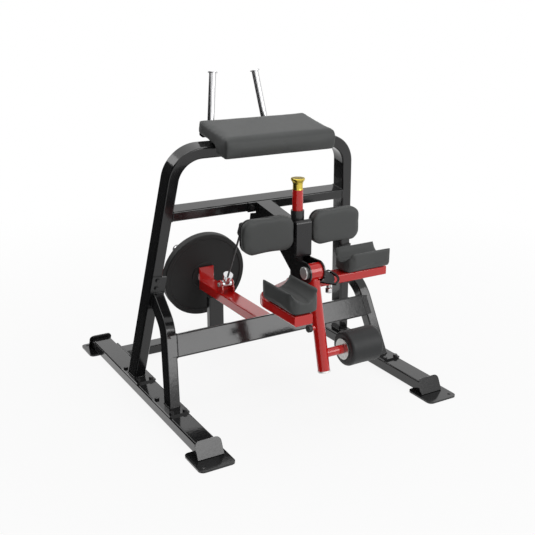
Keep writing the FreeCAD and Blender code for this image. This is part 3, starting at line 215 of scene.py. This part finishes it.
# The floor is paper lit to white, less so near the machine, where its shadow stays.
paper = Finish("pale_floor", Base_Color=(0.82, 0.82, 0.82), Roughness=0.9)
floor = put("studio_floor", mesh_of("studio_floor", floor_shape), paper)
floor.location.z = -FLOOR_DROP
far_out = paper.add("ShaderNodeVectorMath", {"operation": "LENGTH"}, {0: paper.place}, "Value")
paper_white = paper.either(far_out * PAPER_PER_METRE, PAPER_AT_MIDDLE)
lit_paper = paper.add("ShaderNodeEmission", {}, {"Color": WHITE})
paper.connect(paper.tree.nodes["Material Output"].inputs["Surface"],
              paper.add("ShaderNodeMixShader", {},
                        {0: paper.ray_sees_background() * paper_white,
                         1: Feed(paper, paper.shader.outputs[0]), 2: lit_paper}))

CARD_FAR = -1.25
CARD_NEAR = -0.66
CARD_FRONT = -1.2
CARD_BACK = 3.2
CARD_HIGH = 1.7
CARD_LIFT = 0.001


def card_shape(shape):
    upright = [(CARD_FAR, CARD_FRONT, 0), (CARD_FAR, CARD_BACK, 0),
               (CARD_FAR, CARD_BACK, CARD_HIGH), (CARD_FAR, CARD_FRONT, CARD_HIGH)]
    lying = [(CARD_FAR, CARD_FRONT, CARD_LIFT), (CARD_NEAR, CARD_FRONT, CARD_LIFT),
             (CARD_NEAR, CARD_BACK, CARD_LIFT), (CARD_FAR, CARD_BACK, CARD_LIFT)]
    for corners in (upright, lying):
        shape.faces.new([shape.verts.new(corner) for corner in corners])


dull_black = Finish("black_card", Base_Color=(0.004, 0.004, 0.004), Roughness=1.0)
card = put("black_card", mesh_of("black_card", card_shape), dull_black)
card.visible_camera = False
card.visible_diffuse = False
card.visible_shadow = False


def lamp(name, power, size, position, target):
    """A square soft lamp aimed at a point."""
    light = bpy.data.lights.new(name, "AREA")
    light.energy = power
    light.size = size
    holder = put(name, light)
    holder.location = position
    aim = Vector(target) - Vector(position)
    holder.rotation_euler = aim.to_track_quat("-Z", "Y").to_euler()


MACHINE_HEART = (0, 0, 0.6)
lamp("front_lamp", 66, 2.4, (1.6, -3.8, 2.2), MACHINE_HEART)
lamp("top_lamp", 32, 2.6, (0, 0.4, 3.6), MACHINE_HEART)
lamp("rear_lamp", 16, 1.8, (-1.5, 3.4, 2.4), MACHINE_HEART)

view = bpy.data.cameras.new("view")
view.sensor_width = 36
view.lens = 56.1
VIEW_TURN = 30.28
VIEW_DIP = 17.95
view_holder = put("view", view)
view_holder.location = (-1.787, -3.082, 1.691)
view_holder.rotation_euler = (math.radians(90 - VIEW_DIP), 0, math.radians(-VIEW_TURN))
scene.camera = view_holder


# ------------------------------------------------------------------ welded frame
# Rectangular steel tube, saw-cut, MIG-welded and coated in gloss black powder. The powder
# flows into a fine orange peel, with faint scuffs scattered over all of it.

def powder_coat(name, colour, gloss, scuffs):
    """Powder-coated steel: orange peel, a little dust, and scuffs that dull it."""
    paint = Finish(name, IOR=1.5, Specular_IOR_Level=0.42, Coat_Weight=0.25, Coat_Roughness=0.07)
    peel = paint.mottle(520, 2)
    waves = paint.mottle(70, 2)
    clouds = paint.mottle(5, 4)
    scratch = paint.mottle(26, 8, 0.75, paint.stretched(1, 0.3, 3)) ** 7
    dull = clouds * 0.07 + scratch * scuffs + gloss
    paint.vary("Roughness", dull)
    paler = tuple(min(1, channel * 1.25 + 0.004) for channel in colour)
    paint.vary("Base Color", paint.blend(clouds * 0.5 + scratch, colour, paler))
    paint.vary("Normal", paint.raise_by(peel, 0.00003, paint.raise_by(waves, 0.00018)))
    return paint


frame_black = powder_coat("frame_black_powder", (0.010, 0.0102, 0.0108), 0.08, 1.0)
coat(frame_black, "base_rails", "foot_plates", "rail_end_plates", "rear_cross_tube", "hoop",
     "hoop_foot_plates", "front_legs", "front_leg_plates", "crossbeam", "upper_crossbar",
     "hub_side_plates", "boom_top_plate", "thigh_brackets", "handle_bracket", "arm_pivot_cheeks",
     "stop_post")

BEAD = 0.0026
RIPPLE = 0.0055


def weld_bead(name, node, spot, facing):
    """A rippled bead of weld round a tube, where a plane meets the CAD node's outer skin."""
    cutter = bmesh.new()
    cutter.from_mesh(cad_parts[node].data)
    bmesh.ops.remove_doubles(cutter, verts=cutter.verts, dist=1e-5)
    everything = list(cutter.verts) + list(cutter.edges) + list(cutter.faces)
    found = bmesh.ops.bisect_plane(cutter, geom=everything, plane_co=spot, plane_no=facing)
    edges = [part for part in found["geom_cut"] if isinstance(part, bmesh.types.BMEdge)]
    loops = []
    left = set(edges)
    while left:
        edge = min(left, key=lambda item: tuple(item.verts[0].co))
        left.discard(edge)
        start, corner = edge.verts
        loop = [start.co.copy(), corner.co.copy()]
        while corner is not start:
            onward = [item for item in corner.link_edges if item in left]
            if not onward:
                break
            left.discard(onward[0])
            corner = onward[0].other_vert(corner)
            loop.append(corner.co.copy())
        loops.append(loop)
    cutter.free()

    def length(loop):
        return sum((b - a).length for a, b in zip(loop, loop[1:]))

    def middle(loop):
        return sum(loop, Vector()) / len(loop)

    outer = []
    for loop in sorted(loops, key=length, reverse=True):
        if length(loop) < 0.1:
            continue
        if all((middle(loop) - middle(kept)).length > 0.05 for kept in outer):
            outer.append(loop)

    def build(shape):
        normal = Vector(facing).normalized()
        for loop in outer:
            closed = (loop[0] - loop[-1]).length < 1e-4
            total = length(loop)
            steps = max(24, int(total / 0.0022))
            rings = []
            for step in range(steps if closed else steps + 1):
                distance = total * step / steps
                for a, b in zip(loop, loop[1:]):
                    run = (b - a).length
                    if distance <= run:
                        break
                    distance -= run
                along = (b - a).normalized()
                centre = a.lerp(b, distance / max(run, 1e-9))
                outward = along.cross(normal).normalized()
                swell = 1 + 0.22 * math.sin(2 * math.pi * total * step / steps / RIPPLE)
                swell += 0.25 * noise.noise(centre * 90)
                ring = []
                for side in range(8):
                    turn = math.tau * side / 8
                    push = outward * math.cos(turn) + normal * math.sin(turn)
                    ring.append(shape.verts.new(centre + push * BEAD * swell))
                rings.append(ring)
            pairs = list(zip(rings, rings[1:]))
            if closed:
                pairs.append((rings[-1], rings[0]))
            for first, second in pairs:
                for side in range(8):
                    onward = (side + 1) % 8
                    shape.faces.new((first[side], first[onward], second[onward], second[side]))

    piece(name, mesh_of(name, build), frame_black, "frame")


LEAN = math.radians(10.2)
HOOP_Y = 0.211


def hoop_place(across, through, up):
    """A place on the leaning hoop, in metres."""
    y = HOOP_Y + through * math.cos(LEAN) - up * math.sin(LEAN)
    return Vector((across, y, through * math.sin(LEAN) + up * math.cos(LEAN)))


hoop_through = hoop_place(0, 1, 0) - hoop_place(0, 0, 0)
plate_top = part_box("hoop_foot_plates")[1].z
weld_bead("weld_hoop_feet", "hoop",
          (0, 0, plate_top + 0.001), (0, 0, 1))
weld_bead("weld_leg_feet", "front_legs",
          (0, 0, plate_top + 0.001), (0, 0, 1))
weld_bead("weld_leg_tops", "front_legs",
          hoop_place(0, -0.0492, 0.45), hoop_through)
SPLAY = 0.135
# Each beam's end is coped round the tube it meets; past this much cope its section is whole.
BEAM_COPE = 0.0312
BAR_COPE = 0.0098
for side in (-1, 1):
    side_name = "left" if side < 0 else "right"
    beam_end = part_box("crossbeam")[1].x - BEAM_COPE
    weld_bead("weld_beam_" + side_name, "crossbeam",
              (side * beam_end, 0, 0.29), (side, 0, SPLAY))
    bar_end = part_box("upper_crossbar")[1].x - BAR_COPE
    weld_bead("weld_crossbar_" + side_name, "upper_crossbar",
              (side * bar_end, 0, 0.82), (side, 0, SPLAY))

# Bolts and other small steel parts, zinc plated or blackened: the plated ones have fine
# turning lines and a film that is darker in clouds.

def plated_steel(name, colour, roughness, lines):
    """Plated or bare steel with turning lines."""
    steel = Finish(name, Metallic=1.0)
    cloud = steel.mottle(60, 4)
    line = steel.mottle(900, 2, 0.5, steel.stretched(*lines))
    shade = tuple(channel * 0.72 for channel in colour)
    steel.vary("Base Color", steel.blend(cloud, colour, shade))
    steel.vary("Roughness", cloud * 0.16 + line * 0.10 + roughness)
    steel.vary("Normal", steel.raise_by(line, 0.00001))
    return steel


zinc = plated_steel("zinc_plated_steel", (0.62, 0.62, 0.60), 0.20, (0.15, 1, 1))
black_steel = powder_coat("blackened_steel", (0.022, 0.022, 0.023), 0.30, 0.6)
dark_zinc = plated_steel("black_passivated_zinc", (0.035, 0.034, 0.036), 0.34, (1, 1, 0.2))
bronze = plated_steel("bearing_bronze", (0.60, 0.42, 0.20), 0.25, (0.15, 1, 1))
coat(black_steel, "frame_bolts", "post_sleeve", "post_collar", "drive_crank", "rocker", "lift_link")
coat(zinc, "arm_pivot_shaft", "hub_axle", "roller_washers", "drive_link", "lug_bolt",
     "knee_lock_housing")
coat(dark_zinc, "knee_index_plate")
coat(bronze, "hub_bushes", "arm_bushes")


# ------------------------------------------------------------------ front cover and small mouldings
# Injection-moulded caps and knobs: a glossy cover on the boom's nose, and matt black plugs
# and knobs with the fine spark texture of their moulds.

def moulding(name, colour, roughness, texture, depth):
    """Moulded plastic or rubber with its mould's texture."""
    plastic = Finish(name, IOR=1.48)
    spark = plastic.mottle(texture, 2)
    cloud = plastic.mottle(9, 4)
    paler = tuple(channel * 1.6 + 0.003 for channel in colour)
    plastic.vary("Base Color", plastic.blend(cloud * 0.6, colour, paler))
    plastic.vary("Roughness", cloud * 0.14 + spark * 0.06 + roughness)
    plastic.vary("Normal", plastic.raise_by(spark, depth))
    return plastic


cover_black = moulding("gloss_cover", (0.012, 0.012, 0.013), 0.16, 60, 0.0002)
knob_black = moulding("matt_mouldings", (0.020, 0.020, 0.020), 0.42, 1400, 0.00008)
bumper_rubber = moulding("bumper_rubber", (0.018, 0.018, 0.018), 0.62, 900, 0.0001)
board_black = moulding("backing_boards", (0.016, 0.016, 0.016), 0.55, 700, 0.0001)
coat(cover_black, "front_cover")
coat(knob_black, "lever_lock_pin", "roller_sleeve", "horn_cap")
coat(bumper_rubber, "stop_bumper")
coat(board_black, "thigh_boards", "arm_pad_board", "knee_pad_plates")


# ------------------------------------------------------------------ red moving parts
# The lever, the weight arm and the turning knee frame are welded tube in gloss red powder
# under a clear coat, so their top faces mirror the room.

red_gloss = powder_coat("gloss_red_powder", (0.60, 0.008, 0.006), 0.10, 0.3)
red_gloss.shader.inputs["Coat Weight"].default_value = 0.5
red_gloss.shader.inputs["Coat Roughness"].default_value = 0.05
coat(red_gloss, "lever_hub", "lever_tube", "weight_arm", "knee_frame", "knee_arm_caps")


# ------------------------------------------------------------------ plated parts
# Chrome on the grips, the weight horn and the rod end; polished steel caps on the hub axle
# and the lever; and a turned brass hand knob on the post.

def chrome_plate(name, colour, roughness):
    """Bright plating with faint polishing lines and a breath of haze."""
    bright = Finish(name, Metallic=1.0)
    haze = bright.mottle(14, 5)
    line = bright.mottle(420, 2, 0.5, bright.stretched(1, 1, 0.08))
    shade = tuple(channel * 0.86 for channel in colour)
    bright.vary("Base Color", bright.blend(haze, colour, shade))
    bright.vary("Roughness", haze * 0.10 + line * 0.05 + roughness)
    bright.vary("Normal", bright.raise_by(haze, 0.0001))
    return bright


chrome = chrome_plate("chrome_plate", (0.72, 0.72, 0.73), 0.12)
polished_cap = chrome_plate("polished_steel_caps", (0.90, 0.90, 0.89), 0.30)
brass = chrome_plate("polished_brass", (0.70, 0.54, 0.09), 0.24)
coat(chrome, "handles", "handle_end_flanges", "weight_horn", "lift_link_adjuster", "knee_lock_pin")
coat(polished_cap, "axle_cap", "lever_end_cap")
coat(brass, "post_knob")


# ------------------------------------------------------------------ weight plate
# A moulded rubber plate: matt black, with the fine texture of its mould and faintly paler
# clouds where the rubber has bloomed.

plate_rubber = moulding("plate_rubber", (0.007, 0.007, 0.007), 0.50, 600, 0.00015)
coat(plate_rubber, "weight_plate")


# ------------------------------------------------------------------ upholstery
# Every pad is moulded foam on a board under grained vinyl, pulled tight, so its faces crown
# slightly and its edges stay round.

def grained_vinyl(name, colour):
    """Upholstery vinyl: pebbled grain with fine creases, and a dull sheen."""
    vinyl = Finish(name, IOR=1.44, Sheen_Weight=0.05, Sheen_Roughness=0.5)
    pebble = vinyl.grain(620)
    crease = vinyl.grain(210)
    cloud = vinyl.mottle(7, 4)
    rubbed = vinyl.mottle(28, 6, 0.7)
    paler = tuple(channel * 1.35 for channel in colour)
    darker = tuple(channel * 0.80 for channel in colour)
    base = vinyl.blend(cloud, darker, paler)
    vinyl.vary("Base Color", vinyl.blend(pebble * 0.5, base, darker))
    vinyl.vary("Roughness", cloud * 0.10 + rubbed * 0.10 + pebble * 0.05 + 0.42)
    vinyl.vary("Normal", vinyl.raise_by(pebble, 0.00018, vinyl.raise_by(crease, 0.00012)))
    return vinyl


pad_vinyl = grained_vinyl("grained_vinyl", (0.058, 0.061, 0.060))


SIM_FRAMES = 16
HELD_FLAT = 0.016
PROUD = 0.002


def as_modified(cover):
    """The mesh as its modifiers leave it, which are then dropped."""
    mesh = bpy.data.meshes.new_from_object(
        cover.evaluated_get(bpy.context.evaluated_depsgraph_get()))
    cover.modifiers.clear()
    return mesh


def smoothing(cover, name, rounds):
    """Evens out a mesh in a number of rounds."""
    modifier = cover.modifiers.new(name, "SMOOTH")
    modifier.factor = 0.5
    modifier.iterations = rounds


def blow_up(cover, seat_point, seat_facing, swell):
    """Cloth under pressure: each point moves out by up to the swell, and none at the seat."""
    cloth = cover.modifiers.new("skin", "CLOTH")
    cloth.settings.use_pressure = True
    cloth.settings.uniform_pressure_force = 4
    cloth.settings.tension_stiffness = 25
    cloth.settings.compression_stiffness = 25
    cloth.settings.bending_stiffness = 4
    cloth.settings.effector_weights.gravity = 0
    cloth.collision_settings.use_collision = False
    cloth.point_cache.frame_start = 1
    cloth.point_cache.frame_end = SIM_FRAMES
    for step in range(1, SIM_FRAMES + 1):
        scene.frame_set(step)
    blown = as_modified(cover)
    scene.frame_set(1)
    for vertex, moved in zip(cover.data.vertices, blown.vertices):
        above = (vertex.co - seat_point).dot(seat_facing)
        move = (moved.co - vertex.co) * min(1, max(0, above / HELD_FLAT))
        if move.length > swell:
            move = move.normalized() * swell
        vertex.co += move


def upholster(name, node, body, seat, facing, voxel, inset, softening, swell, ironing,
              corner=0, copies=()):
    """Foam and vinyl in place of a pad's CAD solid: the solid's shape, rounded, then blown up
    as cloth under pressure with its seat face held flat. The same skin also covers its twins,
    each given as a name, a node, a body and the matrix that carries it over. A corner radius
    rounds the pad's outline, as seen square on to an upright face."""
    cover = put(name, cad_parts[node].data.copy())
    remesh = cover.modifiers.new("voxels", "REMESH")
    remesh.mode = "VOXEL"
    remesh.voxel_size = voxel
    smoothing(cover, "rounded", softening)
    shrunk = cover.modifiers.new("inset", "DISPLACE")
    shrunk.strength = -inset
    shrunk.mid_level = 0
    cover.data = as_modified(cover)
    seat_point, seat_facing = Vector(seat), Vector(facing).normalized()
    low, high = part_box(node)
    for vertex in cover.data.vertices if corner else ():
        across = min(max(vertex.co.x, low.x + corner), high.x - corner)
        up = min(max(vertex.co.z, low.z + corner), high.z - corner)
        arm = Vector((vertex.co.x - across, vertex.co.z - up))
        if arm.length > corner:
            vertex.co.x = across + arm.x * corner / arm.length
            vertex.co.z = up + arm.y * corner / arm.length
    blow_up(cover, seat_point, seat_facing, swell)
    for vertex in cover.data.vertices:
        for axis in range(3):
            floor_side, far_side = low[axis] - PROUD, high[axis] + PROUD
            vertex.co[axis] = min(far_side, max(floor_side, vertex.co[axis]))
        under = (vertex.co - seat_point).dot(seat_facing)
        if under < 0:
            vertex.co -= seat_facing * under
    smoothing(cover, "ironed", ironing)
    finer = cover.modifiers.new("finer", "SUBSURF")
    finer.levels = 1
    finer.render_levels = 1
    smoothed = as_modified(cover)
    bpy.data.objects.remove(cover)
    for face in smoothed.polygons:
        face.use_smooth = True
    twins = [(name, node, body, Matrix.Identity(4)), *copies]
    for twin, twin_node, twin_body, carry in twins:
        skin = smoothed.copy()
        skin.transform(carry)
        if carry.determinant() < 0:
            skin.flip_normals()
        made = piece(twin, skin, pad_vinyl, twin_body)
        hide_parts(twin_node)


# The forearm pad: a thick slab on the hoop, with a deep roll over its front edge.
# Its seat is measured up the hoop's lean, and nothing of the skin goes below it.
ARM_SEAT = 1.1103
upholster("arm_rest_cover", "arm_pad", "frame", hoop_place(0, 0, ARM_SEAT),
          hoop_place(0, 0, 1) - hoop_place(0, 0, 0),
          voxel=0.006, inset=0.002, softening=12, swell=0.004, ironing=14)

# The thigh pads: two flat lozenges either side of the boom's nose, facing the lifter.
pad_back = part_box("thigh_pad_left")[1].y
flip_x = Matrix.Diagonal((-1, 1, 1, 1))
upholster("thigh_rest_left_cover", "thigh_pad_left", "frame", (0, pad_back, 0), (0, -1, 0),
          voxel=0.005, inset=0.0025, softening=14, swell=0.005, ironing=12, corner=0.060,
          copies=[("thigh_rest_right_cover", "thigh_pad_right", "frame", flip_x)])

# The knee pads: saddles whose lips rise thin on either side of a round groove.
left_low, left_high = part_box("knee_pad_left")
right_low, right_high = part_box("knee_pad_right")
left_centre = (left_low + left_high) / 2
right_centre = (right_low + right_high) / 2
to_right = (Matrix.Translation(right_centre) @ Matrix.Rotation(math.radians(-90), 4, "Z")
            @ Matrix.Translation(-left_centre))
upholster("knee_rest_left_cover", "knee_pad_left", "knee_swing_frame",
          (0, 0, left_low.z), (0, 0, 1),
          voxel=0.0045, inset=0.001, softening=3, swell=0.003, ironing=2,
          copies=[("knee_rest_right_cover", "knee_pad_right", "knee_swing_frame", to_right)])


# ------------------------------------------------------------------ foam roller
# A closed-cell foam sleeve, dipped for a tough skin: black, softly rounded at its ends, with
# fine pores and shallow waves where legs have pressed it.

foam = Finish("dipped_foam", IOR=1.45)
pore = foam.mottle(1100, 2)
dent = foam.mottle(22, 3)
foam_tone = foam.blend(dent, (0.010, 0.011, 0.012), (0.019, 0.020, 0.021))
foam.vary("Base Color", foam_tone)
foam.vary("Roughness", pore * 0.10 + dent * 0.12 + 0.42)
foam.vary("Normal", foam.raise_by(pore, 0.00014, foam.raise_by(dent, 0.0012)))

roller_low, roller_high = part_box("foam_roller")
roller_centre = (roller_low + roller_high) / 2
ROLLER_RADIUS = (roller_high.z - roller_low.z) / 2
ROLLER_LONG = roller_high.x - roller_low.x
ROLLER_BORE = 0.0232
ROUND_END = 0.014
PRESSED_IN = 0.0012
WAVE_DEPTH = 0.004
AROUND = 96


def roller_shape(shape):
    half = ROLLER_LONG / 2
    outline = [(-half + 0.0015, ROLLER_BORE), (-half + 0.0005, ROLLER_BORE + 0.012)]
    outline.append((-half, ROLLER_RADIUS - ROUND_END - 0.004))
    for step in range(9):
        turn = math.pi / 2 * step / 8
        outline.append((-half + ROUND_END * (1 - math.cos(turn)),
                        ROLLER_RADIUS - ROUND_END * (1 - math.sin(turn))))
    far_end = [(-along, radius) for along, radius in reversed(outline)]
    barrel = 24
    for step in range(1, barrel):
        along = -half + ROUND_END + (ROLLER_LONG - 2 * ROUND_END) * step / barrel
        outline.append((along, ROLLER_RADIUS - PRESSED_IN * math.sin(math.pi * step / barrel)))
    outline += far_end
    rings = []
    for along, radius in outline:
        ring = []
        for step in range(AROUND):
            turn = math.tau * step / AROUND
            out_y, out_z = math.cos(turn), math.sin(turn)
            wave = 1 + WAVE_DEPTH * noise.noise(Vector((along * 14, out_y * 1.6, out_z * 1.6)))
            size = min(ROLLER_RADIUS, radius * wave)
            spot = roller_centre + Vector((along, size * out_y, size * out_z))
            ring.append(shape.verts.new(spot))
        rings.append(ring)
    for first, second in zip(rings, rings[1:] + rings[:1]):
        for step in range(AROUND):
            onward = (step + 1) % AROUND
            shape.faces.new((first[step], first[onward], second[onward], second[step]))


roller = piece("foam_roller_sleeve", mesh_of("foam_roller_sleeve", roller_shape), foam,
               "roller")
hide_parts("foam_roller")
